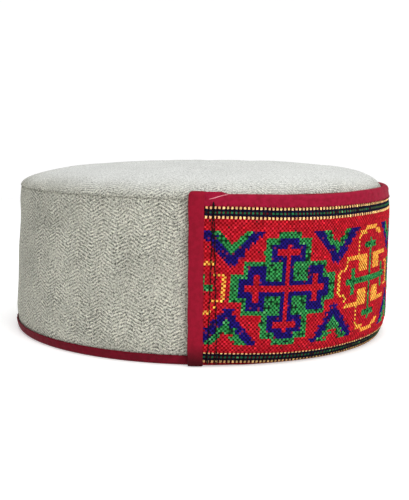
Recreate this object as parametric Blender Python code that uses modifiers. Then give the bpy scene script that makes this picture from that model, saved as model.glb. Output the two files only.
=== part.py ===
# Himachali cap: round wool cap with a woven band over its front half.
# Metres, +Z up, front of the cap at -Y, rim resting at height 0.
import bmesh
import bpy
import math
from mathutils import Vector

MM = 0.001
OBJECT_NAME = "himachali_cap"

# Plan of the cap: half-sizes of the wall's outer face at half height.
HALF_LENGTH = 94.7
HALF_WIDTH = 87.35
ROUND_RADIUS = (HALF_LENGTH + HALF_WIDTH) / 2
MIDDLE_HEIGHT = 37.0
TAPER = 0.0195
LEAN_TO_FRONT = 0.015
CENTRE_SHIFT_Y = 0.9
TURN_STEPS = 72

# Clearances between pieces that are sewn together.
SEWN_GAP = 0.3
WALL_GAP = 0.35

# Heights on the wall.
SEAM_HEIGHT = 72.2
RIM_TAPE_THICK = 1.0
WALL_BOTTOM = RIM_TAPE_THICK + SEWN_GAP
WALL_THICK = 2.5
SEAM_FLANGE = 4.0
SEAM_FLANGE_THICK = 2.2
SEAM_ROUND = 1.0

# Crown: a low dome with a rolled shoulder.
CROWN_THICK = 2.2
CROWN_BOTTOM = SEAM_HEIGHT + SEWN_GAP
SHOULDER_RISE = 7.5
DOME_RISE = 4.8
SHOULDER_POWER = 8.0
CROWN_FRONT_RISE = 0.015
CROWN_EDGE_WIDTH = 5.0
CROWN_EDGE_THICK = 2.0
CROWN_EDGE_ROUND = 0.55

# Tape folded over the band's edges.
TAPE_THICK = 0.7
TAPE_CORNER = 0.6
BAND_THICK = 1.3
TAPE_INNER_START = WALL_GAP
TAPE_INNER_END = 1.1
BAND_INNER = TAPE_INNER_END + SEWN_GAP
BAND_OUTER = BAND_INNER + BAND_THICK
TAPE_OUTER_START = BAND_OUTER + SEWN_GAP
TAPE_OUTER_END = TAPE_OUTER_START + TAPE_THICK

# Band: covers the front half, from side to side.
BAND_HALF_TURN = 89.05
BAND_ABOVE_SEAM = 1.75
BAND_TOP = SEAM_HEIGHT + BAND_ABOVE_SEAM
BAND_BOTTOM = 0.35
TOP_TAPE_TOP = BAND_TOP + SEWN_GAP + TAPE_THICK
TOP_TAPE_OUTER_LEG = 5.45
TOP_TAPE_INNER_LEG = 4.55
TOP_TAPE_OUTER_FOOT = TOP_TAPE_TOP - TOP_TAPE_OUTER_LEG
TOP_TAPE_INNER_FOOT = TOP_TAPE_TOP - TOP_TAPE_INNER_LEG
END_TAPE_WIDTH = 6.6
END_TAPE_OVER_TOP = 1.25
END_TAPE_TOP = TOP_TAPE_TOP + END_TAPE_OVER_TOP
END_TAPE_BOTTOM = 0.3
END_TAPE_ROUND = 0.5
CUTTER_REACH = 3.0
SHARE_OF_TURN = 360.0 / (2 * math.pi * ROUND_RADIUS)

# Rim tape, folded round the wall's lower edge.
RIM_OUTER_LEG = 4.5
RIM_INNER_LEG = 6.0
RIM_LEG_THICK = 0.65
RIM_OUTER_FACE = SEWN_GAP + RIM_LEG_THICK
RIM_INNER_FACE = WALL_THICK + SEWN_GAP + RIM_LEG_THICK

# Turns from the front, in degrees, over which the front's form gives way to the back's.
FRONT_FULL_TURN = 62.0
FRONT_END_TURN = 88.0
# The lower edge curls inward, more at the front than at the back.
CURL_HEIGHT = 12.5
CURL_BACK = 1.9
CURL_FRONT = 3.4
# The upper edge tucks in towards the seam, more where the band is sewn on.
TUCK_REACH = 10.2
TUCK_HEIGHT = SEAM_HEIGHT - TUCK_REACH
TUCK_BACK = 0.6
TUCK_FRONT = 1.8

# Soft hollows and swells in the side: turn from the front in degrees, height,
# half-width along the wall in degrees, half-height, depth inward (mm).
DENT_COLUMNS = ("turn", "height", "half_turn", "half_height", "depth")
DENTS = (
    (-160.0, 54.0, 12.0, 13.0, 0.9),
    (-128.0, 30.0, 16.0, 20.0, -0.5),
    (-112.0, 50.0, 10.0, 18.0, 0.5),
    (150.0, 40.0, 16.0, 22.0, 0.6),
    (112.0, 46.0, 14.0, 20.0, -0.4),
)

# Heights on the wall's face where a ring of points is set.
WALL_LEVELS = (4.5, 7.5, 11.0, 16.0, 26.0, 38.0, 50.0, 62.0)
# Shares of the crown's radius where a ring of points is set.
CROWN_OUTER_SHARES = (1.0, 0.993, 0.98, 0.955, 0.92, 0.87, 0.79, 0.68, 0.52, 0.32, 0.12)
CROWN_INNER_SHARES = (0.12, 0.36, 0.58, 0.75, 0.86, 0.92)

WOOL_GREY = (0.40, 0.39, 0.33, 1.0)
CROWN_GREY = (0.44, 0.43, 0.38, 1.0)
WOVEN_RED = (0.43, 0.02, 0.03, 1.0)
TAPE_MAROON = (0.31, 0.012, 0.035, 1.0)
RIM_MAROON = (0.12, 0.004, 0.012, 1.0)


def remove_all():
    """Empty the scene of what was there before."""
    for obj in list(bpy.data.objects):
        bpy.data.objects.remove(obj, do_unlink=True)
    for group in list(bpy.data.collections):
        bpy.data.collections.remove(group)


def smooth_step(low, high, value):
    """0 at low, 1 at high, with a soft change between."""
    share = (value - low) / (high - low)
    share = min(max(share, 0.0), 1.0)
    return share * share * (3.0 - 2.0 * share)


def wrapped(turn):
    """A turn in radians brought between minus and plus half a turn."""
    return math.atan2(math.sin(turn), math.cos(turn))


def front_share(turn):
    """1 across the front of the cap, 0 round its back."""
    from_front = abs(math.degrees(wrapped(turn)))
    return 1.0 - smooth_step(FRONT_FULL_TURN, FRONT_END_TURN, from_front)


def curl_in(turn, height):
    """How far the lower edge is curled inward here."""
    strength = CURL_BACK + (CURL_FRONT - CURL_BACK) * front_share(turn)
    share = max(0.0, 1.0 - height / CURL_HEIGHT)
    return strength * share ** 2


def tuck_in(turn, height):
    """How far the upper edge is tucked in towards the seam here."""
    strength = TUCK_BACK + (TUCK_FRONT - TUCK_BACK) * front_share(turn)
    share = max(0.0, min(height, SEAM_HEIGHT) - TUCK_HEIGHT) / (SEAM_HEIGHT - TUCK_HEIGHT)
    return strength * share ** 2


def dents_in(turn, height):
    """Depth of the soft hollows at this place."""
    total = 0.0
    for row in DENTS:
        dent = dict(zip(DENT_COLUMNS, row))
        across = math.degrees(wrapped(turn - math.radians(dent["turn"]))) / dent["half_turn"]
        along = (height - dent["height"]) / dent["half_height"]
        total += dent["depth"] * math.exp(-(across * across + along * along))
    return total


def cap_point(turn, radius, height):
    """Place a point of the plain round form on the oval, leaning, soft cap."""
    wall_height = min(height, SEAM_HEIGHT)
    taper = TAPER * (wall_height - MIDDLE_HEIGHT)
    inward = taper + curl_in(turn, height) + tuck_in(turn, height) + dents_in(turn, height)
    near_edge = min(1.0, radius / (ROUND_RADIUS - CROWN_EDGE_WIDTH)) ** 3
    radius = radius - inward * near_edge
    x = radius * math.sin(turn) * HALF_WIDTH / ROUND_RADIUS
    y = -radius * math.cos(turn) * HALF_LENGTH / ROUND_RADIUS
    above_seam = max(0.0, height - SEAM_HEIGHT)
    crown_share = min(1.0, above_seam / SHOULDER_RISE)
    height += -y * CROWN_FRONT_RISE * crown_share
    y += CENTRE_SHIFT_Y - LEAN_TO_FRONT * (height - MIDDLE_HEIGHT)
    return Vector((x * MM, y * MM, height * MM))


def make_material(name, colour, roughness):
    """A plain cloth material."""
    material = bpy.data.materials.new(name)
    material.use_nodes = True
    shader = material.node_tree.nodes["Principled BSDF"]
    shader.inputs["Base Color"].default_value = colour
    shader.inputs["Roughness"].default_value = roughness
    material.diffuse_color = colour
    return material


def finish_object(name, work_mesh, group, material):
    """Turn a bmesh into a smooth, outward-facing object."""
    bmesh.ops.recalc_face_normals(work_mesh, faces=work_mesh.faces)
    mesh = bpy.data.meshes.new(name)
    work_mesh.to_mesh(mesh)
    work_mesh.free()
    for face in mesh.polygons:
        face.use_smooth = True
    obj = bpy.data.objects.new(name, mesh)
    group.objects.link(obj)
    if material is not None:
        mesh.materials.append(material)
    return obj


def turned_piece(name, profile, half_turn, group, material):
    """Sweep a closed profile of (outward, height) pairs about the cap's axis.

    half_turn is None for the whole way round, or degrees to each side of the front.
    """
    mesh = bpy.data.meshes.new(name + "_profile")
    points = [((ROUND_RADIUS + out) * MM, 0.0, height * MM) for out, height in profile]
    edges = [(i, (i + 1) % len(points)) for i in range(len(points))]
    mesh.from_pydata(points, edges, [])
    source = bpy.data.objects.new(name + "_profile", mesh)
    group.objects.link(source)
    screw = source.modifiers.new("turn", "SCREW")
    screw.axis = "Z"
    whole = half_turn is None
    screw.angle = 2 * math.pi if whole else math.radians(2 * half_turn)
    steps = TURN_STEPS if whole else round(TURN_STEPS * half_turn / 180.0)
    screw.steps = steps
    screw.render_steps = steps
    screw.use_merge_vertices = whole
    screw.merge_threshold = 0.00005
    bpy.context.view_layer.update()
    graph = bpy.context.evaluated_depsgraph_get()
    turned = bpy.data.meshes.new_from_object(source.evaluated_get(graph))
    bpy.data.objects.remove(source, do_unlink=True)
    bpy.data.meshes.remove(mesh)
    work_mesh = bmesh.new()
    work_mesh.from_mesh(turned)
    bpy.data.meshes.remove(turned)
    if not whole:
        open_edges = [edge for edge in work_mesh.edges if edge.is_boundary]
        for at_start in (True, False):
            ring = [edge for edge in open_edges if (abs(edge.verts[0].co.y) < 1e-7) == at_start]
            bmesh.ops.triangle_fill(work_mesh, edges=ring, use_beauty=False)
    first_turn = math.pi if whole else -math.radians(half_turn)
    for vert in work_mesh.verts:
        turn = first_turn + math.atan2(vert.co.y, vert.co.x)
        radius = math.hypot(vert.co.x, vert.co.y) / MM
        vert.co = cap_point(turn, radius, vert.co.z / MM)
    bmesh.ops.triangulate(work_mesh, faces=work_mesh.faces)
    return finish_object(name, work_mesh, group, material)


def lofted_piece(name, rings, group, material):
    """Join rings of points, one above another, and close both ends."""
    work_mesh = bmesh.new()
    rows = [[work_mesh.verts.new(point) for point in ring] for ring in rings]
    count = len(rows[0])
    for low, high in zip(rows, rows[1:]):
        for i in range(count):
            j = (i + 1) % count
            work_mesh.faces.new((low[i], low[j], high[j], high[i]))
    work_mesh.faces.new(rows[0])
    work_mesh.faces.new(rows[-1])
    bmesh.ops.triangulate(work_mesh, faces=work_mesh.faces)
    return finish_object(name, work_mesh, group, material)


def plan_ring(height, outline, side):
    """A ring at one height, from pairs of (way in from the band's end, outward)."""
    ring = []
    for along, out in outline:
        turn = side * math.radians(BAND_HALF_TURN - along * SHARE_OF_TURN)
        ring.append(cap_point(turn, ROUND_RADIUS + out, height))
    return ring


def wall_profile():
    """Side wall with its upper edge turned in as a seam flange."""
    inner = -WALL_THICK
    outer_side = [(0.0, SEAM_HEIGHT - SEAM_ROUND)]
    outer_side += [(0.0, level) for level in reversed(WALL_LEVELS)]
    outer_side += [(0.0, WALL_BOTTOM + 0.5)]
    foot = [(-0.6, WALL_BOTTOM), (inner + 0.6, WALL_BOTTOM)]
    inner_side = [(inner, WALL_BOTTOM + 0.5)]
    inner_side += [(inner, level) for level in WALL_LEVELS]
    under = SEAM_HEIGHT - SEAM_FLANGE_THICK
    flange_end = inner - SEAM_FLANGE
    top = [
        (inner, under - 1.2),
        (inner - 1.2, under),
        (flange_end, under),
        (flange_end, SEAM_HEIGHT),
        (-SEAM_ROUND, SEAM_HEIGHT),
        (-0.3 * SEAM_ROUND, SEAM_HEIGHT - 0.3 * SEAM_ROUND),
    ]
    return outer_side + foot + inner_side + top


def crown_height(share):
    """Height of the crown's outer face at a share of its radius."""
    dome = DOME_RISE * (1.0 - share ** 2)
    shoulder = SHOULDER_RISE * math.sqrt(max(0.0, 1.0 - share ** SHOULDER_POWER))
    return CROWN_BOTTOM + CROWN_EDGE_ROUND + dome + shoulder


def crown_profile():
    """Outer face, edge and inner face of the crown, from the rim to the middle."""
    outer = [(share * ROUND_RADIUS, crown_height(share)) for share in CROWN_OUTER_SHARES]
    outer.append((0.0, crown_height(0.0)))
    inner = [(0.0, crown_height(0.0) - CROWN_THICK)]
    for share in CROWN_INNER_SHARES:
        step = 0.002
        rise = crown_height(share + step) - crown_height(share - step)
        run = 2 * step * ROUND_RADIUS
        length = math.hypot(rise, run)
        radius = share * ROUND_RADIUS + rise / length * CROWN_THICK
        height = crown_height(share) - run / length * CROWN_THICK
        inner.append((radius, height))
    edge_inner = ROUND_RADIUS - CROWN_EDGE_WIDTH
    edge = [
        (edge_inner - 0.8, CROWN_BOTTOM + CROWN_EDGE_THICK + 1.2),
        (edge_inner, CROWN_BOTTOM + 0.9),
        (edge_inner, CROWN_BOTTOM),
        (ROUND_RADIUS - CROWN_EDGE_ROUND, CROWN_BOTTOM),
    ]
    return [(radius - ROUND_RADIUS, height) for radius, height in outer + inner + edge]


def band_profile():
    """Woven strip, from its top edge to the curled lower edge."""
    levels = (BAND_TOP - 4.0,) + tuple(reversed(WALL_LEVELS))
    outer_side = [(BAND_OUTER - 0.3, BAND_TOP), (BAND_OUTER, BAND_TOP - 0.4)]
    outer_side += [(BAND_OUTER, level) for level in levels]
    outer_side += [(BAND_OUTER, BAND_BOTTOM + 1.6), (BAND_OUTER - 0.35, BAND_BOTTOM)]
    inner_side = [(BAND_INNER, BAND_BOTTOM), (BAND_INNER, BAND_BOTTOM + 1.6)]
    inner_side += [(BAND_INNER, level) for level in reversed(levels)]
    inner_side += [(BAND_INNER, BAND_TOP)]
    return outer_side + inner_side


def top_tape_profile():
    """Tape folded over the band's upper edge."""
    slot_top = BAND_TOP + SEWN_GAP
    top = TOP_TAPE_TOP
    return [
        (TAPE_OUTER_END, top - 1.4 * TAPE_CORNER),
        (TAPE_OUTER_END, TOP_TAPE_OUTER_FOOT + 0.25),
        (TAPE_OUTER_END - 0.2, TOP_TAPE_OUTER_FOOT),
        (TAPE_OUTER_START, TOP_TAPE_OUTER_FOOT),
        (TAPE_OUTER_START, slot_top),
        (TAPE_INNER_END, slot_top),
        (TAPE_INNER_END, TOP_TAPE_INNER_FOOT),
        (TAPE_INNER_START, TOP_TAPE_INNER_FOOT),
        (TAPE_INNER_START, top - 1.2 * TAPE_CORNER),
        (TAPE_INNER_START + TAPE_CORNER, top - 0.25),
        (TAPE_INNER_START + 2 * TAPE_CORNER, top),
        (TAPE_OUTER_END - 2 * TAPE_CORNER, top),
        (TAPE_OUTER_END - 0.6 * TAPE_CORNER, top - 0.4 * TAPE_CORNER),
    ]


def rim_tape_profile():
    """Tape folded round the wall's lower edge, flat underneath."""
    slot_inner = -WALL_THICK - SEWN_GAP
    return [
        (RIM_OUTER_FACE, RIM_OUTER_LEG - 0.3),
        (RIM_OUTER_FACE, 2.4),
        (RIM_OUTER_FACE, 0.6),
        (RIM_OUTER_FACE - 0.6, 0.0),
        (-RIM_INNER_FACE + 0.6, 0.0),
        (-RIM_INNER_FACE, 0.6),
        (-RIM_INNER_FACE, 3.0),
        (-RIM_INNER_FACE, RIM_INNER_LEG),
        (slot_inner, RIM_INNER_LEG),
        (slot_inner, 3.0),
        (slot_inner, RIM_TAPE_THICK),
        (SEWN_GAP, RIM_TAPE_THICK),
        (SEWN_GAP, 2.4),
        (SEWN_GAP, RIM_OUTER_LEG),
        (RIM_OUTER_FACE - 0.3, RIM_OUTER_LEG),
    ]


def end_tape_outline(inset):
    """Plan of an end tape: pairs of (way in from the band's end, outward)."""
    low = TAPE_INNER_START + inset
    high = TAPE_OUTER_END - inset
    start = inset
    end = END_TAPE_WIDTH - inset
    corner = END_TAPE_ROUND
    return (
        (start, low + corner),
        (start, high - corner),
        (start + 0.3 * corner, high - 0.3 * corner),
        (start + corner, high),
        (end - 0.4 * corner, high),
        (end, high - 0.4 * corner),
        (end, low),
        (start + corner, low),
        (start + 0.3 * corner, low + 0.3 * corner),
    )


def box_outline(start, end, low, high):
    """Plan of a straight cutter."""
    return ((start, low), (start, high), (end, high), (end, low))


def end_tape(name, side, group, cutters, material):
    """Tape folded over one end of the band, with a slot for the band inside it."""
    heights = [END_TAPE_BOTTOM, END_TAPE_BOTTOM + 1.6] + list(WALL_LEVELS)
    heights += [SEAM_HEIGHT - 1.0, END_TAPE_TOP - 0.45]
    rings = [plan_ring(height, end_tape_outline(0.0), side) for height in heights]
    rings.append(plan_ring(END_TAPE_TOP - 0.12, end_tape_outline(0.14), side))
    rings.append(plan_ring(END_TAPE_TOP, end_tape_outline(0.45), side))
    tape = lofted_piece(name, rings, group, material)
    cut_end = END_TAPE_WIDTH + CUTTER_REACH
    slot = box_outline(TAPE_THICK, cut_end, TAPE_INNER_END, TAPE_OUTER_START)
    slot_heights = [-CUTTER_REACH, 2.0] + list(WALL_LEVELS) + [BAND_TOP + SEWN_GAP]
    notch = box_outline(-CUTTER_REACH, cut_end, -CUTTER_REACH, TAPE_INNER_END + SEWN_GAP)
    notch_heights = [-CUTTER_REACH, 2.0, RIM_OUTER_LEG + SEWN_GAP]
    for title, outline, levels in (("slot", slot, slot_heights), ("notch", notch, notch_heights)):
        cutter_rings = [plan_ring(height, outline, side) for height in levels]
        cutter = lofted_piece(name + "_" + title, cutter_rings, cutters, None)
        cutter.hide_render = True
        cutter.display_type = "WIRE"
        cut = tape.modifiers.new(title, "BOOLEAN")
        cut.operation = "DIFFERENCE"
        cut.solver = "EXACT"
        cut.object = cutter
    return tape


remove_all()
parts = bpy.data.collections.new(OBJECT_NAME)
cutters = bpy.data.collections.new("cutters")
bpy.context.scene.collection.children.link(parts)
bpy.context.scene.collection.children.link(cutters)
cutters.hide_render = True

wool = make_material("wool_grey", WOOL_GREY, 0.9)
crown_wool = make_material("crown_grey", CROWN_GREY, 0.9)
woven = make_material("woven_red", WOVEN_RED, 0.85)
tape_cloth = make_material("tape_maroon", TAPE_MAROON, 0.7)
side_tape_cloth = make_material("side_tape_maroon", TAPE_MAROON, 0.7)
far_tape_cloth = make_material("far_tape_maroon", TAPE_MAROON, 0.7)
rim_cloth = make_material("rim_maroon", RIM_MAROON, 0.75)

top_tape_half_turn = BAND_HALF_TURN - (END_TAPE_WIDTH + SEWN_GAP) * SHARE_OF_TURN
band_half_turn = BAND_HALF_TURN - (TAPE_THICK + SEWN_GAP) * SHARE_OF_TURN

turned_piece("side_wall", wall_profile(), None, parts, wool)
turned_piece("crown_top", crown_profile(), None, parts, crown_wool)
turned_piece("front_band", band_profile(), band_half_turn, parts, woven)
turned_piece("band_top_binding", top_tape_profile(), top_tape_half_turn, parts, tape_cloth)
turned_piece("rim_binding", rim_tape_profile(), None, parts, rim_cloth)
end_tape("band_end_binding_right", -1.0, parts, cutters, side_tape_cloth)
end_tape("band_end_binding_left", 1.0, parts, cutters, far_tape_cloth)
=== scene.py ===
# Looks of a himachali cap: grey herringbone wool, a woven front band and folded tapes.
import math

import bmesh
import bpy
import numpy as np
from mathutils import Matrix, Vector


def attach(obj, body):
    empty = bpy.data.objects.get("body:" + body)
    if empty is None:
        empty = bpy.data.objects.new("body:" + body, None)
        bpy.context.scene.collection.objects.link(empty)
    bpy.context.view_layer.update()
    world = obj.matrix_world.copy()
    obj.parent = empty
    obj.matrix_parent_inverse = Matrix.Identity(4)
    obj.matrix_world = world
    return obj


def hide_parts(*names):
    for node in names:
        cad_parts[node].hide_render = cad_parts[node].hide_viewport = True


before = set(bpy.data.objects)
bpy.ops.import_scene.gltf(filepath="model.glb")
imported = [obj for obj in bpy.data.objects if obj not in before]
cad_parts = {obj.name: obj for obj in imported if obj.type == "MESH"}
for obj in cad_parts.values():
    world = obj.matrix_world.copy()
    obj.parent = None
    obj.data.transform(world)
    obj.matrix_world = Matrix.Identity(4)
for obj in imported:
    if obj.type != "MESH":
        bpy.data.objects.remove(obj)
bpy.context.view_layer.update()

MM = 0.001

# The cap's form, with the same values as the part's source.
HALF_LENGTH = 94.7
HALF_WIDTH = 87.35
ROUND_RADIUS = (HALF_LENGTH + HALF_WIDTH) / 2
MIDDLE_HEIGHT = 37.0
TAPER = 0.0195
LEAN_TO_FRONT = 0.015
CENTRE_SHIFT_Y = 0.9
SEAM_HEIGHT = 72.2
CROWN_BOTTOM = 72.5
CROWN_EDGE_ROUND = 0.55
SHOULDER_RISE = 7.5
DOME_RISE = 4.8
SHOULDER_POWER = 8.0
CROWN_FRONT_RISE = 0.015
FRONT_FULL_TURN = 62.0
FRONT_END_TURN = 88.0
CURL_HEIGHT = 12.5
CURL_BACK = 1.9
CURL_FRONT = 3.4
TUCK_HEIGHT = 62.0
TUCK_BACK = 0.6
TUCK_FRONT = 1.8
BAND_HALF_TURN = 89.05
END_TAPE_WIDTH = 6.6
BAND_INNER = 1.4
BAND_OUTER = 2.7
TAPE_TOP = 74.95
TAPE_FOOT = 69.5
END_TAPE_TOP = 76.2
DENTS = (
    # turn, height, half-turn, half-height, depth
    (-160.0, 54.0, 12.0, 13.0, 0.9),
    (-128.0, 30.0, 16.0, 20.0, -0.5),
    (-112.0, 50.0, 10.0, 18.0, 0.5),
    (150.0, 40.0, 16.0, 22.0, 0.6),
    (112.0, 46.0, 14.0, 20.0, -0.4),
)


def ease(low, high, value):
    share = np.clip((value - low) / (high - low), 0.0, 1.0)
    return share * share * (3.0 - 2.0 * share)


def wrapped(turn):
    return np.arctan2(np.sin(turn), np.cos(turn))


def form(turn, out, height, crown=False):
    """Place points, given by turn from the front, distance out from the wall and height, on the cap."""
    turn, out, height = np.broadcast_arrays(*(np.asarray(v, float) for v in (turn, out, height)))
    from_front = np.abs(np.degrees(wrapped(turn)))
    front = 1.0 - ease(FRONT_FULL_TURN, FRONT_END_TURN, from_front)
    wall_height = np.minimum(height, SEAM_HEIGHT)
    curl = (CURL_BACK + (CURL_FRONT - CURL_BACK) * front) * np.maximum(0, 1 - height / CURL_HEIGHT) ** 2
    tuck_share = np.maximum(0, wall_height - TUCK_HEIGHT) / (SEAM_HEIGHT - TUCK_HEIGHT)
    tuck = (TUCK_BACK + (TUCK_FRONT - TUCK_BACK) * front) * tuck_share ** 2
    dent = np.zeros_like(height)
    for at_turn, at_height, half_turn, half_height, depth in DENTS:
        across = np.degrees(wrapped(turn - math.radians(at_turn))) / half_turn
        along = (height - at_height) / half_height
        dent = dent + depth * np.exp(-(across ** 2 + along ** 2))
    radius = ROUND_RADIUS + out
    near_edge = np.minimum(1.0, radius / (ROUND_RADIUS - 5.0)) ** 3
    radius = radius - (TAPER * (wall_height - MIDDLE_HEIGHT) + curl + tuck + dent) * near_edge
    x = radius * np.sin(turn) * HALF_WIDTH / ROUND_RADIUS
    y = -radius * np.cos(turn) * HALF_LENGTH / ROUND_RADIUS
    crown_share = np.minimum(1.0, np.maximum(0, height - SEAM_HEIGHT) / SHOULDER_RISE)
    up = height - y * CROWN_FRONT_RISE * crown_share
    y = y + CENTRE_SHIFT_Y - LEAN_TO_FRONT * (up - MIDDLE_HEIGHT)
    return np.stack([x, y, up], axis=-1) * MM


# Length along the band's face, in mm, from the place nearest the camera.
FACE_SHARE = (ROUND_RADIUS + BAND_OUTER) / ROUND_RADIUS
TURN_TABLE = np.radians(np.linspace(-200.0, 200.0, 4001))
ARC_STEP = FACE_SHARE * np.hypot(
    np.diff(HALF_WIDTH * np.sin(TURN_TABLE)), np.diff(HALF_LENGTH * np.cos(TURN_TABLE))
)
ARC_TABLE = np.concatenate([[0.0], np.cumsum(ARC_STEP)])
ARC_TABLE -= np.interp(math.radians(-86.0), TURN_TABLE, ARC_TABLE)


def turn_at(arc):
    return np.interp(arc, ARC_TABLE, TURN_TABLE)


def arc_at(turn):
    return np.interp(turn, TURN_TABLE, ARC_TABLE)


FAR_TURN = math.radians(BAND_HALF_TURN)
BAND_START_ARC = float(arc_at(-FAR_TURN))
BAND_END_ARC = float(arc_at(FAR_TURN))


def sheet_mesh(name, points, across, along, closed_across=False, closed_along=False, caps=False):
    """A mesh from a grid of points (rows, columns, 3), with its length and height in mm as its UV map."""
    rows, columns = points.shape[:2]
    r = np.arange(rows if closed_along else rows - 1)[:, None]
    c = np.arange(columns if closed_across else columns - 1)[None, :]
    r2, c2 = (r + 1) % rows, (c + 1) % columns
    quads = np.stack([r * columns + c, r * columns + c2, r2 * columns + c2, r2 * columns + c], -1)
    across, along = np.asarray(across, float), np.asarray(along, float)
    u = np.stack(np.broadcast_arrays(across[c], across[c + 1], across[c + 1], across[c] + 0 * r), -1)
    v = np.stack(np.broadcast_arrays(along[r], along[r], along[r + 1], along[r + 1] + 0 * c), -1)
    mesh = bpy.data.meshes.new(name)
    faces = [tuple(face) for face in quads.reshape(-1, 4).tolist()]
    if caps:
        faces.append(tuple(range(0, rows * columns, columns)))
        faces.append(tuple(range(columns - 1, rows * columns, columns)))
    mesh.from_pydata(points.reshape(-1, 3).tolist(), [], faces)
    uv = mesh.uv_layers.new(name="cloth")
    flat = np.zeros((len(mesh.loops), 2), np.float32)
    flat[: quads.size, 0] = u.reshape(-1)
    flat[: quads.size, 1] = v.reshape(-1)
    uv.data.foreach_set("uv", flat.reshape(-1))
    mesh.polygons.foreach_set("use_smooth", np.ones(len(mesh.polygons), bool))
    return mesh


def add_piece(name, mesh, material, replaced=None):
    obj = bpy.data.objects.new(name, mesh)
    bpy.context.scene.collection.objects.link(obj)
    mesh.materials.append(material)
    work = bmesh.new()
    work.from_mesh(mesh)
    bmesh.ops.recalc_face_normals(work, faces=work.faces)
    work.to_mesh(mesh)
    work.free()
    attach(obj, "root")
    if replaced:
        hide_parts(replaced)
    return obj


def softened(points, rounds=2, closed=True):
    """Cut the corners of an outline so that a fold of cloth looks round."""
    points = np.asarray(points, float)
    for _ in range(rounds):
        following = np.roll(points, -1, axis=0)
        if not closed:
            inner = np.stack([0.75 * points + 0.25 * following, 0.25 * points + 0.75 * following], 1)[:-1]
            points = np.concatenate([points[:1], inner.reshape(-1, 2), points[-1:]])
        else:
            pair = np.stack([0.75 * points + 0.25 * following, 0.25 * points + 0.75 * following], 1)
            points = pair.reshape(-1, 2)
    return points


def divided(points, longest, closed=True):
    """Add points so that no step of an outline is longer than this."""
    points = np.asarray(points, float)
    ends = np.roll(points, -1, axis=0) if closed else points[1:]
    made = []
    for start, end in zip(points, ends):
        count = max(1, int(math.ceil(np.linalg.norm(end - start) / longest)))
        made += [start + (end - start) * k / count for k in range(count)]
    if not closed:
        made.append(points[-1])
    return np.array(made)


def lengths_of(points, closed=True):
    steps = np.linalg.norm(np.diff(points, axis=0, append=points[:1] if closed else points[-1:]), axis=1)
    return np.concatenate([[0.0], np.cumsum(steps)])


def wobble(turn, height, seed, size):
    """Small hand-made unevenness: a few fixed waves."""
    rng = np.random.default_rng(seed)
    total = 0.0
    for _ in range(6):
        around = rng.integers(5, 24)
        rise = rng.uniform(0.03, 0.22)
        shift = rng.uniform(0, 2 * math.pi, 2)
        total = total + np.sin(around * turn + shift[0]) * np.sin(rise * height + shift[1])
    return size * total / 6.0


# Cloth materials

# Herringbone: width of a column, rise of its strokes per mm along, and distance between strokes.
TWILL_COLUMN = 6.4
TWILL_SLOPE = 0.55
TWILL_PITCH = 1.6


class Cloth:
    """A node material under construction, with short names for the nodes it needs."""

    def __init__(self, name, roughness, sheen=0.0, sheen_rough=0.5, specular=0.2):
        self.material = bpy.data.materials.new(name)
        self.material.use_nodes = True
        self.tree = self.material.node_tree
        self.shader = self.tree.nodes["Principled BSDF"]
        self.shader.inputs["Roughness"].default_value = roughness
        self.shader.inputs["Sheen Weight"].default_value = sheen
        self.shader.inputs["Sheen Roughness"].default_value = sheen_rough
        self.shader.inputs["Specular IOR Level"].default_value = specular

    def put(self, socket, value):
        if isinstance(value, bpy.types.NodeSocket):
            self.tree.links.new(value, socket)
        else:
            socket.default_value = value

    def node(self, kind, **settings):
        made = self.tree.nodes.new(kind)
        for key, value in settings.items():
            setattr(made, key, value)
        return made

    def math(self, operation, *values):
        made = self.node("ShaderNodeMath", operation=operation)
        for socket, value in zip(made.inputs, values):
            self.put(socket, value)
        return made.outputs[0]

    def ramp(self, value, low, high, to_low=0.0, to_high=1.0):
        made = self.node("ShaderNodeMapRange", interpolation_type="SMOOTHSTEP")
        for key, entry in (("Value", value), ("From Min", low), ("From Max", high), ("To Min", to_low), ("To Max", to_high)):
            self.put(made.inputs[key], entry)
        return made.outputs["Result"]

    def cloth_map(self):
        """Length and height on the cloth, in mm."""
        uv = self.node("ShaderNodeUVMap", uv_map="cloth")
        split = self.node("ShaderNodeSeparateXYZ")
        self.tree.links.new(uv.outputs[0], split.inputs[0])
        return split.outputs[0], split.outputs[1]

    def vector(self, x, y, z=0.0):
        made = self.node("ShaderNodeCombineXYZ")
        for socket, value in zip(made.inputs, (x, y, z)):
            self.put(socket, value)
        return made.outputs[0]

    def noise(self, vector, scale, detail=3.0, roughness=0.6, distortion=0.0):
        made = self.node("ShaderNodeTexNoise")
        self.tree.links.new(vector, made.inputs["Vector"])
        for key, entry in (("Scale", scale), ("Detail", detail), ("Roughness", roughness), ("Distortion", distortion)):
            made.inputs[key].default_value = entry
        return made.outputs["Fac"]

    def place(self):
        """The point in the cap's own frame, in mm."""
        coords = self.node("ShaderNodeTexCoord")
        scaled = self.node("ShaderNodeVectorMath", operation="SCALE")
        self.tree.links.new(coords.outputs["Object"], scaled.inputs[0])
        scaled.inputs["Scale"].default_value = 1000.0
        return scaled.outputs[0]

    def blend(self, share, first, second, mode="MIX"):
        made = self.node("ShaderNodeMix", data_type="RGBA", blend_type=mode)
        self.put(made.inputs[0], share)
        self.put(made.inputs[6], first)
        self.put(made.inputs[7], second)
        return made.outputs[2]

    def bump(self, height, strength, distance):
        made = self.node("ShaderNodeBump")
        made.inputs["Strength"].default_value = strength
        made.inputs["Distance"].default_value = distance * MM
        self.put(made.inputs["Height"], height)
        self.tree.links.new(made.outputs[0], self.shader.inputs["Normal"])

    def colour(self, value):
        self.put(self.shader.inputs["Base Color"], value)


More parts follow.
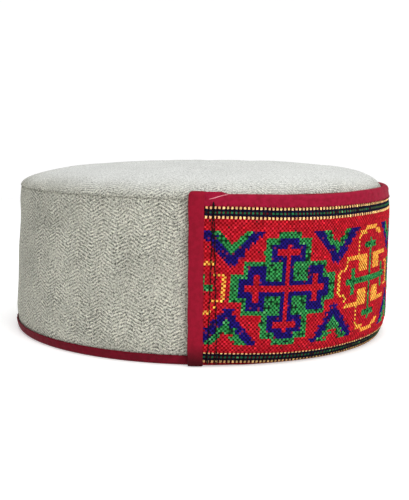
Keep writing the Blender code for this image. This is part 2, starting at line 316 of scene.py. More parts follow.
def herringbone_wool(name):
    """Grey wool in herringbone twill: broken strokes that rise and fall in columns, with dark flecks.

    Over the shoulder and on the crown the wool is made lighter, as painted light on the top, and its nap hides most of
    the weave.
    """
    cloth = Cloth(name, 0.96, sheen=0.08, sheen_rough=0.6, specular=0.05)
    along, up = cloth.cloth_map()
    place = cloth.place()
    split = cloth.node("ShaderNodeSeparateXYZ")
    cloth.tree.links.new(place, split.inputs[0])
    drift = cloth.noise(place, 0.08, 2.0)
    nap_and_top_light = cloth.ramp(cloth.math("ADD", split.outputs[2], cloth.math("MULTIPLY", drift, 3.0)), 73.0, 83.0)
    contrast = cloth.math("SUBTRACT", 1.0, cloth.math("MULTIPLY", nap_and_top_light, 0.40))
    along = cloth.math("ADD", along, cloth.math("MULTIPLY", drift, 6.0))
    folded = cloth.math("PINGPONG", along, TWILL_COLUMN)
    across = cloth.math("ADD", up, cloth.math("MULTIPLY", folded, TWILL_SLOPE))
    ragged = cloth.noise(place, 0.55, 2.0, 0.6)
    across = cloth.math("ADD", across, cloth.math("MULTIPLY", ragged, 0.7))
    wave = cloth.math("SINE", cloth.math("MULTIPLY", across, 2 * math.pi / TWILL_PITCH))
    # The weave is clear in some places and rubbed almost level in others.
    clear = cloth.ramp(cloth.noise(place, 0.045, 2.0), 0.36, 0.64, 0.5, 1.0)
    thread_place = cloth.vector(cloth.math("MULTIPLY", along, 0.85), cloth.math("MULTIPLY", across, 2.2))
    stroke = cloth.noise(thread_place, 1.0, 3.0, 0.70)
    fleck = cloth.noise(place, 1.7, 3.0, 0.8)
    haze = cloth.noise(place, 0.06, 2.0)
    woven = cloth.math("MULTIPLY", cloth.math("SUBTRACT", cloth.ramp(stroke, 0.38, 0.60), 0.5), 0.60)
    woven = cloth.math("ADD", woven, cloth.math("MULTIPLY", wave, 0.21))
    shade = cloth.math("ADD", cloth.math("MULTIPLY", woven, clear), 0.18)
    shade = cloth.math("ADD", shade, cloth.math("MULTIPLY", cloth.ramp(fleck, 0.39, 0.59), 0.54))
    shade = cloth.math("ADD", shade, cloth.math("MULTIPLY", cloth.math("SUBTRACT", haze, 0.5), 0.30))
    shade = cloth.math("ADD", cloth.math("MULTIPLY", cloth.math("SUBTRACT", shade, 0.62), contrast), 0.62)
    wool = cloth.blend(shade, linear(57, 58, 50), linear(240, 239, 223))
    # Painted light: the crown's palette is lighter than the wall's, so the top reads brighter.
    smooth = cloth.blend(shade, linear(136, 139, 134), linear(254, 255, 252))
    wool = cloth.blend(nap_and_top_light, wool, smooth)
    speck = cloth.ramp(cloth.noise(place, 0.70, 2.0, 0.85, 0.4), 0.645, 0.685)
    wool = cloth.blend(cloth.math("MULTIPLY", cloth.math("MULTIPLY", speck, 0.8), contrast), wool, linear(58, 56, 48))
    cloth.colour(wool)
    relief = cloth.math("ADD", cloth.math("MULTIPLY", wave, 0.25), cloth.math("MULTIPLY", stroke, 0.9))
    relief = cloth.math("ADD", relief, cloth.math("MULTIPLY", fleck, 1.0))
    cloth.bump(cloth.math("MULTIPLY", relief, contrast), 1.0, 0.42)
    return cloth.material


def cotton_tape(name, base, shaded, bump=0.25, curl_shade=1.0):
    """Closely woven cotton tape with a faint thread grid and soft handling marks, and painted shade where it curls
    under.
    """
    cloth = Cloth(name, 0.78, sheen=0.03, sheen_rough=0.4, specular=0.12)
    along, up = cloth.cloth_map()
    place = cloth.place()
    warp = cloth.math("SINE", cloth.math("MULTIPLY", along, 2 * math.pi / 0.42))
    weft = cloth.math("SINE", cloth.math("MULTIPLY", up, 2 * math.pi / 0.42))
    weave = cloth.math("MULTIPLY", warp, weft)
    marks = cloth.noise(place, 0.45, 3.0, 0.6)
    fine = cloth.noise(place, 3.0, 2.0, 0.7)
    shade = cloth.math("ADD", cloth.ramp(marks, 0.35, 0.65, 0.0, 0.6), cloth.math("MULTIPLY", fine, 0.35))
    shade = cloth.math("ADD", shade, cloth.math("MULTIPLY", weave, 0.07))
    tape = cloth.blend(shade, shaded, base)
    # Painted shade: towards the bottom the tape is blended into a darker copy of its colour, where it curls under.
    if curl_shade < 1.0:
        split = cloth.node("ShaderNodeSeparateXYZ")
        cloth.tree.links.new(place, split.inputs[0])
        curl_shade_mask = cloth.ramp(split.outputs[2], 0.0, 13.0, 1.0, 0.0)
        tape = cloth.blend(curl_shade_mask, tape, tuple(curl_shade * part for part in shaded[:3]) + (1.0,))
    cloth.colour(tape)
    relief = cloth.math("ADD", cloth.math("MULTIPLY", weave, 0.3), cloth.math("MULTIPLY", marks, 1.2))
    relief = cloth.math("ADD", relief, cloth.math("MULTIPLY", fine, 0.5))
    cloth.bump(relief, bump, 0.3)
    return cloth.material


def woven_yarn(name):
    """Wool yarn in the colour of each woven cell, with fibres along it."""
    cloth = Cloth(name, 0.9, sheen=0.0, sheen_rough=0.5, specular=0.06)
    yarn = cloth.node("ShaderNodeAttribute", attribute_name="yarn")
    place = cloth.place()
    fibre = cloth.noise(place, 5.5, 2.0, 0.7)
    soft = cloth.noise(place, 1.2, 2.0, 0.6)
    gain = cloth.math("ADD", cloth.ramp(fibre, 0.3, 0.7, 0.78, 1.12), cloth.math("MULTIPLY", soft, 0.16))
    tint = cloth.node("ShaderNodeCombineColor")
    for socket in tint.inputs[:3]:
        cloth.put(socket, gain)
    cloth.colour(cloth.blend(1.0, yarn.outputs["Color"], tint.outputs[0], "MULTIPLY"))
    cloth.bump(fibre, 0.35, 0.15)
    return cloth.material


def linear(red, green, blue, gain=1.0):
    """A display colour from 0 to 255 as the light the surface gives back."""
    parts = []
    for part in (red, green, blue):
        part = part / 255.0
        part = part / 12.92 if part <= 0.04045 else ((part + 0.055) / 1.055) ** 2.4
        parts.append(part * gain)
    return (*parts, 1.0)


wool = herringbone_wool("wool")
# The side tape gets painted shade at the bottom, where it curls under.
side_tape = cotton_tape("side_tape", linear(152, 14, 43), linear(130, 9, 34), 0.2, curl_shade=0.2)
top_tape = cotton_tape("top_tape", linear(160, 17, 53), linear(132, 9, 39), 0.2)
rim_tape = cotton_tape("rim_tape", linear(116, 6, 32), linear(88, 3, 20), 0.2)
yarn_cloth = woven_yarn("woven_yarn")
backing = cotton_tape("band_backing", linear(150, 40, 50), linear(110, 24, 34))
black_thread = cotton_tape("black_thread", linear(24, 14, 20), linear(8, 5, 10))
# A pale pink thread that paints the highlight on the top tape's fold.
fold_highlight = cotton_tape("fold_highlight", linear(236, 168, 176), linear(200, 96, 112))

# Side wall

AROUND = 480
ring_turns = np.linspace(-math.pi, math.pi, AROUND, endpoint=False)
ring_arcs = np.linspace(0.0, 2 * math.pi * ROUND_RADIUS, AROUND + 1)

wall_outline = [
    (0.0, 69.4), (0.0, 36.0), (0.0, 1.8), (-0.6, 1.3), (-1.9, 1.3), (-2.5, 1.8),
    (-2.5, 40.0), (-2.5, 68.8), (-3.7, 70.0), (-6.5, 70.0), (-6.5, 72.2), (-1.0, 72.35), (-0.2, 72.4), (0.0, 71.9),
]
wall_line = divided(softened(divided(wall_outline, 4.8), 2), 1.5)
wall_up = lengths_of(wall_line)
wall_out, wall_height = wall_line[:, :1], wall_line[:, 1:]
uneven = wobble(ring_turns[None, :], wall_height, 11, 0.45) * ease(0.0, 8.0, wall_height)
crease_turn = np.degrees(ring_turns)[None, :]
crease = 1.3 * np.exp(-((crease_turn + 136.0) / 17.0) ** 2 - ((wall_height - 60.0 - 0.05 * (crease_turn + 136.0)) / 3.2) ** 2)
wall_out = wall_out - crease
wall_points = form(ring_turns[None, :], wall_out + uneven * (1 - ease(60, 72, wall_height)), wall_height)
wall_mesh = sheet_mesh("wool_side_wall", wall_points, ring_arcs, wall_up, True, True)
add_piece("wool_side_wall", wall_mesh, wool, "side_wall")

# Crown


def crown_height(share):
    dome = DOME_RISE * (1.0 - share ** 2)
    shoulder = SHOULDER_RISE * np.sqrt(np.maximum(0.0, 1.0 - share ** SHOULDER_POWER))
    return CROWN_BOTTOM + CROWN_EDGE_ROUND + dome + shoulder


shares = np.concatenate([np.linspace(0.0, 0.9, 46)[1:], 1.0 - 0.1 * (1 - np.linspace(0, 1, 26)[1:]) ** 2.2])
outer = np.stack([shares * ROUND_RADIUS - ROUND_RADIUS, crown_height(shares)], 1)
inner_shares = np.array([0.93, 0.88, 0.8, 0.7, 0.55, 0.35, 0.15, 0.02])
inner = []
for share in inner_shares:
    rise = crown_height(share + 0.002) - crown_height(share - 0.002)
    run = 0.004 * ROUND_RADIUS
    size = math.hypot(rise, run)
    inner.append((share * ROUND_RADIUS + rise / size * 2.2 - ROUND_RADIUS, crown_height(share) - run / size * 2.2))
edge = [(0.05, 72.75), (-0.1, 72.45), (-0.7, 72.42), (-5.0, 72.5), (-5.0, 73.4), (-5.8, 75.4)]
crown_line = np.concatenate([outer, edge, inner])
crown_turns = ring_turns
line_out, line_height = crown_line[:, :1], crown_line[:, 1:]
soft = wobble(crown_turns[None, :], 60 * (line_out + ROUND_RADIUS) / ROUND_RADIUS, 23, 0.5)
soft = soft * ease(74.0, 80.0, line_height) * ease(-91, -70, line_out)
# The seam's fold stands out a little round the back and fades towards the band.
ridge_round = 1.0 - ease(-150.0, -112.0, np.degrees(crown_turns)) * (1.0 - ease(95.0, 125.0, np.degrees(crown_turns)))
ridge = 0.22 * np.exp(-((line_height - 73.1) / 0.7) ** 2) * (line_out > -2.0) * ridge_round[None, :]
crown_points = form(crown_turns[None, :], line_out + ridge, line_height + soft)
crown_mesh = sheet_mesh("wool_crown", crown_points, ring_arcs, lengths_of(crown_line, False), True, False)
# The crown's cloth runs flat across the top, so its map is the plan, unrolled over the shoulder.
arc_out = lengths_of(np.concatenate([[[-ROUND_RADIUS, crown_height(0.0)]], outer]), False)[1:-1]
reach = np.concatenate([arc_out, np.full(len(edge), arc_out[-1] + 1.0), arc_out[-1] + 3.0 + np.zeros(len(inner))])
plan = np.stack([reach[:, None] * -np.cos(crown_turns)[None, :], reach[:, None] * np.sin(crown_turns)[None, :]], -1)
vertex_of_loop = np.empty(len(crown_mesh.loops), np.int32)
crown_mesh.loops.foreach_get("vertex_index", vertex_of_loop)
crown_mesh.uv_layers["cloth"].data.foreach_set("uv", plan.reshape(-1, 2)[vertex_of_loop].astype(np.float32).reshape(-1))
work = bmesh.new()
work.from_mesh(crown_mesh)
cloth_uv = work.loops.layers.uv["cloth"]
for end_row in (0, len(crown_line) - 1):
    work.verts.ensure_lookup_table()
    ring = [work.verts[end_row * AROUND + k] for k in range(AROUND)]
    middle = work.verts.new(sum((v.co for v in ring), ring[0].co * 0) / AROUND)
    for k in range(AROUND):
        face = work.faces.new((ring[k], ring[(k + 1) % AROUND], middle))
        face.smooth = True
        for corner, spot in zip(face.loops, (plan[end_row, k], plan[end_row, (k + 1) % AROUND], (0.0, 0.0))):
            corner[cloth_uv].uv = spot
work.to_mesh(crown_mesh)
work.free()
add_piece("wool_crown", crown_mesh, wool, "crown_top")

# Woven band

# The repeat in woven cells: cross, chevrons, other cross, chevrons. A repeat is 57 cells to each cross.
CELL = 0.9237
HALF_REPEAT = 57
CROSS_ARC = 38.7
GROUND_ROW = 0.934
GROUND_MIDDLE = 34.4
WEAVE_LEAN = 0.045
RED, NAVY, GREEN, YELLOW, BLACK = range(5)
# A quarter of each cross, from its middle: part, first and last cell across, first and last row.
CROSS_BODY = (("body", 0, 8, 0, 20), ("body", 0, 5, 21, 23), ("body", 0, 19, 0, 10), ("body", 0, 23, 0, 4))
CROSS_BARS = (("bar", 0, 0, 0, 20), ("bar", 0, 5, 16, 18), ("bar", 0, 20, 0, 1), ("bar", 14, 16, 0, 6))
FULL_EDGE = (
    ("edge", 0, 5, 24, 26), ("edge", 5, 11, 21, 23), ("edge", 9, 11, 13, 21), ("edge", 11, 21, 11, 12),
    ("edge", 20, 21, 7, 12), ("edge", 20, 26, 5, 6), ("edge", 24, 27, 0, 6), ("edge", 3, 10, 4, 12),
)
BEAD_EDGE = (
    ("edge", 0, 5, 25, 26), ("edge", 5, 10, 23, 24), ("edge", 9, 11, 22, 22), ("bead", 11, 11, 13, 21),
    ("edge", 11, 20, 11, 12), ("bead", 20, 21, 7, 10), ("edge", 21, 25, 6, 6), ("edge", 25, 26, 0, 5),
    ("edge", 3, 10, 5, 12),
)
CROSS_KINDS = (
    (CROSS_BODY + FULL_EDGE + CROSS_BARS, {"body": NAVY, "edge": GREEN, "bar": RED}),
    (BEAD_EDGE + CROSS_BARS, {"edge": YELLOW, "bead": YELLOW, "bar": GREEN}),
)
STRIPE = (YELLOW, BLACK, GREEN, BLACK, YELLOW)


def cross_cell(across, row, kind):
    """Colour of one cell, counted from the cross's middle line, which lies between two cells."""
    steps, colours = CROSS_KINDS[kind]
    k = across if across >= 0 else -1 - across
    found = RED
    for part, first, last, low, high in steps:
        if first <= k <= last and low <= abs(row) <= high:
            skipped = part == "bead" and (k + row) % 2
            found = RED if skipped else colours[part]
    return found


def chevron_cell(across, row):
    """Colour of the V above and of the peak below, between two crosses."""
    if 10 <= row <= 26:
        reach = 0.6 + 0.9 * (row - 10)
    elif -26 <= row <= -9:
        rise = -9 - row
        reach = 0.5 + 0.82 * rise + (0.7 if rise % 3 == 1 else -0.2)
    else:
        return RED
    if abs(across) > reach:
        return RED
    if abs(across) > reach - 5.2:
        return NAVY
    return GREEN if abs(across) > reach - 9.8 else RED


def ground_cell(column, row):
    """The cell colour of the figured ground, by column from the first cross and row from its middle."""
    repeat = (column + HALF_REPEAT // 2) // HALF_REPEAT
    found = cross_cell(column - repeat * HALF_REPEAT, row, repeat % 2)
    if found == RED:
        found = chevron_cell((column % HALF_REPEAT) - HALF_REPEAT // 2, row)
    return found


ground_rows = list(range(-30, 33))
row_edges = [0.35, 1.3, 2.4, 3.5, 4.3, 5.4]
row_kinds = [("plain", 0)] + [("stripe", k) for k in range(5)]
row_edges += [GROUND_MIDDLE + (row - 0.5) * GROUND_ROW for row in ground_rows]
row_kinds += [("ground", row) for row in ground_rows]
row_edges += [64.2, 65.3, 66.4, 67.2, 68.3, 69.4, 71.0]
row_kinds += [("stripe", k) for k in range(5)] + [("plain", 1)]
row_edges = np.array(row_edges)

first_column = math.ceil((BAND_START_ARC + 3.0 - CROSS_ARC) / CELL)
last_column = math.floor((BAND_END_ARC - 3.0 - CROSS_ARC) / CELL)
columns = list(range(first_column, last_column + 1))
column_edges = CROSS_ARC + np.arange(first_column, last_column + 2) * CELL
# The stripes sag a little between the ends of the band: arc, sag at the top, sag at the bottom.
SAG = ((-8.0, -0.5, -0.9), (14.0, -0.35, -0.3), (35.0, 0.35, 0.75), (58.0, 0.65, 1.25), (85.0, 0.25, 0.75), (120.0, 0.0, 0.6), (180.0, 0.0, 0.0), (400.0, 0.0, 0.0))


def weave_sag(arc, height):
    """How far the weave's rows hang below their level here."""
    knots = np.array(SAG)
    fine = np.linspace(-8.0, 400.0, 409)
    soften = np.hanning(21) / np.hanning(21).sum()
    top, bottom = (np.convolve(np.pad(np.interp(fine, knots[:, 0], knots[:, k]), 10, "edge"), soften, "valid") for k in (1, 2))
    share = np.clip(height / 69.0, 0, 1)
    sag = np.interp(arc, fine, top) * share + np.interp(arc, fine, bottom) * (1 - share)
    return sag * (1 - ease(69.6, 71.0, height))


# The figures' edges are toothed: now and then a row starts a cell sooner or later.
TOOTH = (0, 1, 0, -1, 0, 0, 1, 0, -1, 0, 0)
chart = np.zeros((len(row_kinds), len(columns)), int)
for r, (kind, entry) in enumerate(row_kinds):
    for c, column in enumerate(columns):
        if kind == "ground":
            beside_cross = 20 < (column + HALF_REPEAT // 2) % HALF_REPEAT < 36 and abs(entry) < 21
            arm = abs((column + HALF_REPEAT // 2) % HALF_REPEAT - HALF_REPEAT // 2)
            figured = abs(entry) > 8 and arm > 12
            tooth = TOOTH[(entry * 5 + column // 3 * 7) % len(TOOTH)] if figured and not beside_cross else 0
            chart[r, c] = ground_cell(column + tooth, entry)
        elif kind == "stripe":
            chart[r, c] = STRIPE[entry]

parity = (np.arange(len(row_kinds))[:, None] + np.array(columns)[None, :]) % 2
is_stripe = np.array([kind == "stripe" for kind, _ in row_kinds])[:, None]
stripe_dot = is_stripe & ((np.array(columns)[None, :] % 2) == 0)
raised = np.where(is_stripe, stripe_dot, parity == 0)
# Raised cells take the upper palette. Sunken cells take a darker one, partly the ground threads between floats and
# partly painted shade in the gaps.
PALETTE_UP = np.array(
    [linear(190, 32, 46), linear(30, 20, 108), linear(54, 144, 78), linear(255, 192, 80), linear(20, 16, 44)]
)[:, :3]
PALETTE_DOWN = np.array(
    [linear(128, 4, 14), linear(16, 6, 62), linear(14, 72, 30), linear(158, 50, 18), linear(12, 8, 20)]
)[:, :3]
rng = np.random.default_rng(7)
cell_colour = np.where(raised[..., None], PALETTE_UP[chart], PALETTE_DOWN[chart])
in_stripe_green = is_stripe & stripe_dot & (chart == GREEN)
cell_colour[in_stripe_green] = linear(34, 104, 66)[:3]
cell_colour[is_stripe & stripe_dot & (chart == YELLOW)] = linear(255, 206, 136)[:3]
dark_gap = is_stripe & ~stripe_dot & ((chart == YELLOW) | (chart == GREEN))
cell_colour[dark_gap] = linear(70, 8, 22)[:3]
cell_colour *= np.exp(rng.normal(0.0, 0.20, cell_colour.shape[:2]))[..., None]
cell_colour *= np.exp(rng.normal(0.0, 0.06, cell_colour.shape))
# Here and there the ground's red thread, or a dark float, shows between the coloured ones.
stray = rng.random(chart.shape)
cell_colour[(stray < 0.05) & (chart == NAVY)] = linear(120, 30, 60)[:3]
cell_colour[(stray < 0.12) & (chart == GREEN)] = linear(20, 34, 30)[:3]
cell_colour[(stray > 0.975) & (chart == GREEN) & raised] = linear(96, 180, 110)[:3]
cell_colour[(stray < 0.035) & (chart == RED) & ~raised] = linear(60, 22, 16)[:3]
# The lowest rows curl under and lie in their own shade.
cell_colour *= np.interp(row_edges[:-1], (0.0, 2.0, 5.0, 9.0), (0.35, 0.45, 0.75, 1.0))[:, None, None]
lift = np.where(raised, 0.38, 0.10) + rng.uniform(-0.07, 0.07, raised.shape)
lift = np.where(is_stripe & stripe_dot & (chart == YELLOW), 0.52, lift)
lift = np.where((chart == GREEN) & raised, lift + 0.08, lift)

fine_rows = np.interp(np.arange(2 * len(row_kinds) + 1) / 2.0, np.arange(len(row_edges)), row_edges)
fine_columns = np.interp(np.arange(2 * len(columns) + 1) / 2.0, np.arange(len(column_edges)), column_edges)
height_map = np.zeros((len(fine_rows), len(fine_columns)))
height_map[1::2, 1::2] = lift
side_by_side = np.maximum(lift[:, :-1], lift[:, 1:]) * 0.45
height_map[1::2, 2:-1:2] = side_by_side
height_map[2:-1:2, 1::2] = np.maximum(lift[:-1], lift[1:]) * 0.30
height_map += rng.uniform(-0.03, 0.03, height_map.shape)
place_arc = fine_columns[None, :] + WEAVE_LEAN * (fine_rows[:, None] - GROUND_MIDDLE)
place_arc = place_arc + rng.uniform(-0.10, 0.10, height_map.shape)
place_row = fine_rows[:, None] + rng.uniform(-0.10, 0.10, height_map.shape) * ease(1.0, 2.0, fine_rows)[:, None]
place_row = place_row - weave_sag(place_arc, fine_rows[:, None])
place_row = np.maximum(place_row, 0.36 + 0.12 * (fine_rows[:, None] - fine_rows[0]))
band_points = form(turn_at(place_arc), BAND_OUTER - 0.30 + height_map, place_row)
band_mesh = sheet_mesh("woven_front_band", band_points, fine_columns, fine_rows)
face_colour = np.repeat(np.repeat(cell_colour, 2, 0), 2, 1).reshape(-1, 3)
loop_colour = np.ones((len(band_mesh.loops), 4), np.float32)
loop_colour[:, :3] = np.repeat(face_colour, 4, 0)
yarn_colour = band_mesh.color_attributes.new("yarn", "FLOAT_COLOR", "CORNER")
yarn_colour.data.foreach_set("color", loop_colour.reshape(-1))
add_piece("woven_front_band", band_mesh, yarn_cloth, "front_band")

BAND_COLUMNS = 260
body_turns = np.linspace(-FAR_TURN + 0.011, FAR_TURN - 0.011, BAND_COLUMNS)
body_outline = [(2.25, 74.45), (2.25, 40.0), (2.25, 0.5), (1.4, 0.35), (1.4, 40.0), (1.4, 74.45)]
body_line = divided(body_outline, 3.0)
body_points = form(body_turns[None, :], body_line[:, :1], body_line[:, 1:])
body_mesh = sheet_mesh("band_backing", body_points, arc_at(body_turns), lengths_of(body_line), False, True, True)
add_piece("band_backing", body_mesh, backing)

# Tapes

tape_arcs = np.linspace(BAND_START_ARC + 4.6, BAND_END_ARC - 4.6, 420)
tape_turns = turn_at(tape_arcs)
from_end = np.minimum(tape_arcs - BAND_START_ARC, BAND_END_ARC - tape_arcs)
# Near each end the front leg's fold slopes down to the band's corner and leaves the back leg standing.
dip = 2.3 * (1.0 - ease(6.0, 17.0, from_end))
sag_share = np.exp(-((tape_arcs - 55.0) / 27.0) ** 2)
top_outline = [
    (3.5, 73.4), (3.48, 72.0), (3.22, 69.75), (3.1, 69.5), (2.95, 69.5), (3.0, 73.9), (1.1, 74.2), (1.1, 70.4),
    (0.35, 70.4), (0.35, 74.2), (0.8, 74.75), (1.3, 74.95), (2.2, 74.9), (3.0, 74.4),
]
top_line = softened(divided(top_outline, 1.5), 2)
top_out, top_height = top_line[:, :1], top_line[:, 1:]
joined = ease(4.6, 8.0, from_end)[None, :]
near_top = ease(70.5, TAPE_TOP, top_height)
outer_face = ease(2.0, 3.4, top_out)
thinner = 0.5 * near_top * outer_face * (dip[None, :] / 2.3)
flap = 0.9 * (1.0 - ease(13.0, 17.0, from_end))
pucker = 0.04 * np.sin(tape_arcs[None, :] * 2 * math.pi / 7.3 + np.sin(tape_arcs[None, :] * 0.21) * 2.0)
pucker = pucker + 0.02 * np.sin(tape_arcs[None, :] * 2 * math.pi / 3.1)
swell = 0.16 * np.sin(np.clip((top_height - TAPE_FOOT) / 5.4, 0, 1) * math.pi)
foot_sag = weave_sag(tape_arcs[None, :], 67.0 + 0 * top_height) * (1 - ease(70.4, 72.4, top_height)) * outer_face
top_points = form(
    tape_turns[None, :],
    top_out + outer_face * (swell * joined + pucker * (0.4 + near_top) - 0.3 * (1 - joined)) - thinner,
    top_height - near_top * (outer_face * dip[None, :] + 0.75 * sag_share[None, :] - flap[None, :]) - foot_sag,
)
top_mesh = sheet_mesh("top_tape", top_points, tape_arcs, lengths_of(top_line), False, True, True)
add_piece("top_tape", top_mesh, top_tape, "band_top_binding")

rim_outline = [
    (0.95, 4.2), (0.95, 2.4), (0.95, 0.6), (0.35, 0.0), (-2.9, 0.0), (-3.45, 0.6), (-3.45, 3.0), (-3.45, 6.0),
    (-2.8, 6.0), (-2.8, 3.0), (-2.8, 1.0), (0.3, 1.0), (0.3, 2.4), (0.3, 4.5), (0.65, 4.5),
]
rim_line = softened(divided(rim_outline, 1.2), 2)
rim_out, rim_height = rim_line[:, :1], rim_line[:, 1:]
rim_arcs = ring_arcs[None, :-1]
rim_wave = 0.10 * np.sin(rim_arcs * 2 * math.pi / 5.3 + 2 * np.sin(rim_arcs * 0.19)) + 0.06 * np.sin(rim_arcs * 2.2)
rim_face = ease(-0.5, 0.8, rim_out) * ease(0.3, 2.0, rim_height)
rim_points = form(ring_turns[None, :], rim_out + rim_face * (rim_wave + 0.1), rim_height + 0.18 * rim_wave * ease(2, 4, rim_height))
rim_mesh = sheet_mesh("rim_tape", rim_points, ring_arcs, lengths_of(rim_line), True, True)
add_piece("rim_tape", rim_mesh, rim_tape, "rim_binding")


def end_tape(name, side, node):
    """Tape folded over one end of the band, puffed between its edges, with a rounded upper corner."""
    outline = [
        (0.0, 0.9), (0.0, 2.9), (0.2, 3.4), (0.8, 3.65), (3.2, 3.72), (5.6, 3.62), (6.45, 3.4), (6.65, 3.05),
        (6.5, 2.9), (0.9, 2.75), (0.9, 1.3), (6.2, 1.2), (6.2, 0.45), (0.6, 0.4),
    ]
    line = softened(divided(outline, 1.3), 2)
    heights = np.concatenate([[0.3, 0.8, 1.6], np.linspace(3.0, 72.0, 64), [73.0, 74.0, 74.6, 75.1, 75.5, 75.8, 76.0, 76.05]])
    close = ease(74.6, 76.05, heights)[:, None]
    along, out = line[None, :, 0], line[None, :, 1]
    middle = END_TAPE_WIDTH / 2
    along = along + (middle - along) * close * 0.05 + 0.10 * np.sin(heights[:, None] * 0.42 + 1.0)
    corner = 1.5 * (1 - np.sqrt(np.maximum(0, 1 - np.clip((heights[:, None] - 74.2) / 1.9, 0, 1) ** 2)))
    along = np.where(along < middle, along + corner * (middle - along) / middle, along)
    # The tape leans a little, and is cut wider at the top.
    lean = 0.75 * (37.0 - heights[:, None]) / 37.0
    along = along + lean + 0.45 * ease(55.0, 76.0, heights[:, None]) * (along / END_TAPE_WIDTH - 0.5)
    wave = 0.08 * np.sin(heights[:, None] * 0.8 + 1.5 * np.sin(heights[:, None] * 0.13))
    face = ease(2.8, 3.6, out)
    out = out + (2.0 - out) * close * 0.45 + face * wave
    inner_leg = (1 - ease(1.3, 1.8, out)) * (1 - ease(4.4, 5.2, heights[:, None]))
    out = out + inner_leg * (1.45 - out)
    arc = BAND_START_ARC + along if side < 0 else BAND_END_ARC - along
    points = form(turn_at(arc), out, heights[:, None] + 0 * out)
    mesh = sheet_mesh(name, points, lengths_of(line), heights, True, False)
    work = bmesh.new()
    work.from_mesh(mesh)
    work.verts.ensure_lookup_table()
    count = len(line)
    for start in (0, (len(heights) - 1) * count):
        work.faces.new([work.verts[start + k] for k in range(count)]).smooth = True
    work.to_mesh(mesh)
    work.free()
    add_piece(name, mesh, side_tape, node)


end_tape("end_tape_right", -1, "band_end_binding_right")
end_tape("end_tape_left", 1, "band_end_binding_left")

# Stitches


def thread_mesh(name, paths, radius, sides=6):
    """Many short threads as one mesh. Each path is an array of points in metres."""
    points, faces = [], []
    for path in paths:
        path = np.asarray(path)
        along = np.gradient(path, axis=0)
        along /= np.linalg.norm(along, axis=1)[:, None]
        start = len(points)
        up = np.array([0.0, 0.0, 1.0])
        across = np.cross(along, up)
        across[np.linalg.norm(across, axis=1) < 0.2] = np.array([0.0, 1.0, 0.0])
        across /= np.linalg.norm(across, axis=1)[:, None]
        other = np.cross(along, across)
        thin = np.sin(np.linspace(0.12, 1 - 0.12, len(path)) * math.pi) ** 0.4
        for k in range(len(path)):
            for s in range(sides):
                angle = 2 * math.pi * s / sides
                offset = across[k] * math.cos(angle) + other[k] * math.sin(angle)
                points.append(path[k] + offset * radius * thin[k])
        for k in range(len(path) - 1):
            for s in range(sides):
                a, b = start + k * sides + s, start + k * sides + (s + 1) % sides
                faces.append((a, b, b + sides, a + sides))
        faces.append(tuple(start + s for s in range(sides)))
        faces.append(tuple(start + (len(path) - 1) * sides + s for s in range(sides)))
    mesh = bpy.data.meshes.new(name)
    mesh.from_pydata([tuple(p) for p in points], [], faces)
    mesh.uv_layers.new(name="cloth")
    mesh.polygons.foreach_set("use_smooth", np.ones(len(mesh.polygons), bool))
    return mesh


def stitch_line(side, arc_top, arc_bottom, seed):
    """One row of running stitches down the band's end: black thread over the weave, with short gaps."""
    rng = np.random.default_rng(seed)
    paths = []
    height = 71.8
    while height > 1.5:
        end = max(0.8, height - rng.uniform(1.9, 2.7))
        level = np.linspace(height, end, 7)
        share = (72.0 - level) / 72.0
        arc = arc_top + (arc_bottom - arc_top) * share + 0.16 * np.sin(level * 0.9 + seed)
        arc = arc if side < 0 else (BAND_START_ARC + BAND_END_ARC) - arc
        rise = np.sin(np.linspace(0, 1, 7) * math.pi)
        base = np.where(level > 69.2, 3.38, 2.72)
        paths.append(form(turn_at(arc), base + 0.30 * rise, level))
        height = end - rng.uniform(0.25, 0.55)
    return paths


stitches = []
for side in (-1, 1):
    stitches += stitch_line(side, 4.6, 4.2, 31)
    stitches += stitch_line(side, 4.9, 8.3, 47)
add_piece("band_stitches", thread_mesh("band_stitches", stitches, 0.00030), black_thread)

# Small slanting stitches hold the top tape's foot, and a pale thread along its folded edge near the corner is a painted
# highlight, partly pale wear.
rng = np.random.default_rng(19)
foot_stitches = []
arc = 3.0
while arc < 165.0:
    level = TAPE_FOOT - float(weave_sag(arc, 67.0))
    lean = rng.uniform(0.5, 1.1)
    path_arc = np.linspace(arc, arc + lean, 5)
    path_up = np.linspace(level - 0.35, level + rng.uniform(0.5, 0.9), 5)
    foot_stitches.append(form(turn_at(path_arc), 2.85 + np.array([-0.1, 0.30, 0.52, 0.62, 0.56]), path_up))
    arc += rng.uniform(1.6, 3.4)
add_piece("tape_foot_stitches", thread_mesh("tape_foot_stitches", foot_stitches, 0.00011, 5), rim_tape)

# Painted highlight: a pale pink thread laid along the fold, partly pale wear.
fold_arc = np.linspace(BAND_START_ARC + 8.0, BAND_START_ARC + 16.0, 24)
fold_dip = 2.3 * (1.0 - ease(6.0, 17.0, fold_arc - BAND_START_ARC))
fold_line = form(turn_at(fold_arc), 3.35 - 0.5 * fold_dip / 2.3, TAPE_TOP - 0.10 - fold_dip)
add_piece("fold_edge", thread_mesh("fold_edge", [fold_line], 0.00022), fold_highlight)

# Stage, light and camera


def plain_material(name, colour, glow=0.0):
    material = bpy.data.materials.new(name)
    material.use_nodes = True
    shader = material.node_tree.nodes["Principled BSDF"]
    shader.inputs["Base Color"].default_value = colour
    shader.inputs["Roughness"].default_value = 0.9
    shader.inputs["Specular IOR Level"].default_value = 0.1
    shader.inputs["Emission Color"].default_value = (1, 1, 1, 1)
    shader.inputs["Emission Strength"].default_value = glow
    return material


def stage_mesh(name, points, faces, material):
    mesh = bpy.data.meshes.new(name)
    mesh.from_pydata(points, [], faces)
    mesh.materials.append(material)
    obj = bpy.data.objects.new(name, mesh)
    bpy.context.scene.collection.objects.link(obj)
    return obj


floor_ring = [(0.8 * math.sin(k * math.pi / 32), 0.8 * math.cos(k * math.pi / 32), 0.0) for k in range(64)]
stage_mesh("floor", floor_ring, [tuple(range(63, -1, -1))], plain_material("pale_floor", (0.84, 0.84, 0.84, 1), 0.40))

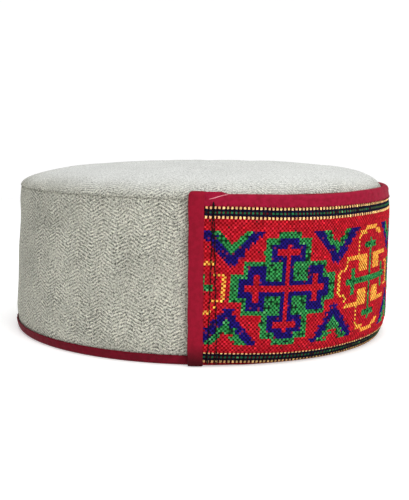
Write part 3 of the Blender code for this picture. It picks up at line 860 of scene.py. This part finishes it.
# A white backdrop far behind, which the camera sees and the cap isn't lit by.
backdrop_mesh = bpy.data.meshes.new("backdrop")
work = bmesh.new()
bmesh.ops.create_icosphere(work, subdivisions=4, radius=5.5)
bmesh.ops.reverse_faces(work, faces=work.faces)
work.to_mesh(backdrop_mesh)
work.free()
backdrop_mesh.materials.append(plain_material("white_backdrop", (0, 0, 0, 1), 1.02))
backdrop = bpy.data.objects.new("backdrop", backdrop_mesh)
bpy.context.scene.collection.objects.link(backdrop)
backdrop.visible_diffuse = False
backdrop.visible_glossy = False
backdrop.visible_transmission = False
backdrop.visible_shadow = False

scene = bpy.context.scene
world = bpy.data.worlds.new("studio")
scene.world = world
world.use_nodes = True
world.node_tree.nodes["Background"].inputs["Color"].default_value = (1.0, 1.0, 1.0, 1)
world.node_tree.nodes["Background"].inputs["Strength"].default_value = 0.42


def soft_light(name, place, aim, size, power, colour=(1, 1, 1)):
    data = bpy.data.lights.new(name, "AREA")
    data.shape = "DISK"
    data.size = size
    data.energy = power
    data.color = colour
    obj = bpy.data.objects.new(name, data)
    bpy.context.scene.collection.objects.link(obj)
    obj.location = place
    obj.rotation_euler = (Vector(aim) - Vector(place)).to_track_quat("-Z", "Y").to_euler()
    return obj


soft_light("top_softbox", (-0.10, -0.10, 1.2), (0, 0, 0.05), 1.0, 9.2)
soft_light("side_fill", (-1.0, -0.75, 0.5), (0, 0, 0.04), 0.8, 6.5)

# Camera fitted to the photograph.
CAMERA_DISTANCE = 0.447708
CAMERA_HEIGHT = 0.102903
CAMERA_TURN = math.radians(86.0)
CAMERA_PITCH = math.radians(8.209)
CAMERA_ROLL = math.radians(0.858)
FOCAL_PIXELS = 852.638
AIM_Y = -0.00095

ahead = Vector((math.sin(CAMERA_TURN), math.cos(CAMERA_TURN), 0.0))
right = Vector((ahead.y, -ahead.x, 0.0))
forward = ahead * math.cos(CAMERA_PITCH) - Vector((0, 0, math.sin(CAMERA_PITCH)))
upward = right.cross(forward)
rolled_right = right * math.cos(CAMERA_ROLL) + upward * math.sin(CAMERA_ROLL)
rolled_up = upward * math.cos(CAMERA_ROLL) - right * math.sin(CAMERA_ROLL)
stand = Vector((0, AIM_Y, 0)) - ahead * CAMERA_DISTANCE + Vector((0, 0, CAMERA_HEIGHT))
camera_data = bpy.data.cameras.new("camera")
camera_data.sensor_width = 36.0
camera_data.lens = 36.0 * FOCAL_PIXELS / 500.0
camera_data.shift_x = 0.934 / 500.0
camera_data.clip_start = 0.01
camera = bpy.data.objects.new("camera", camera_data)
scene.collection.objects.link(camera)
rows = Matrix((rolled_right, rolled_up, -forward)).transposed().to_4x4()
rows.translation = stand
camera.matrix_world = rows
scene.camera = camera
scene.view_settings.view_transform = "Standard"
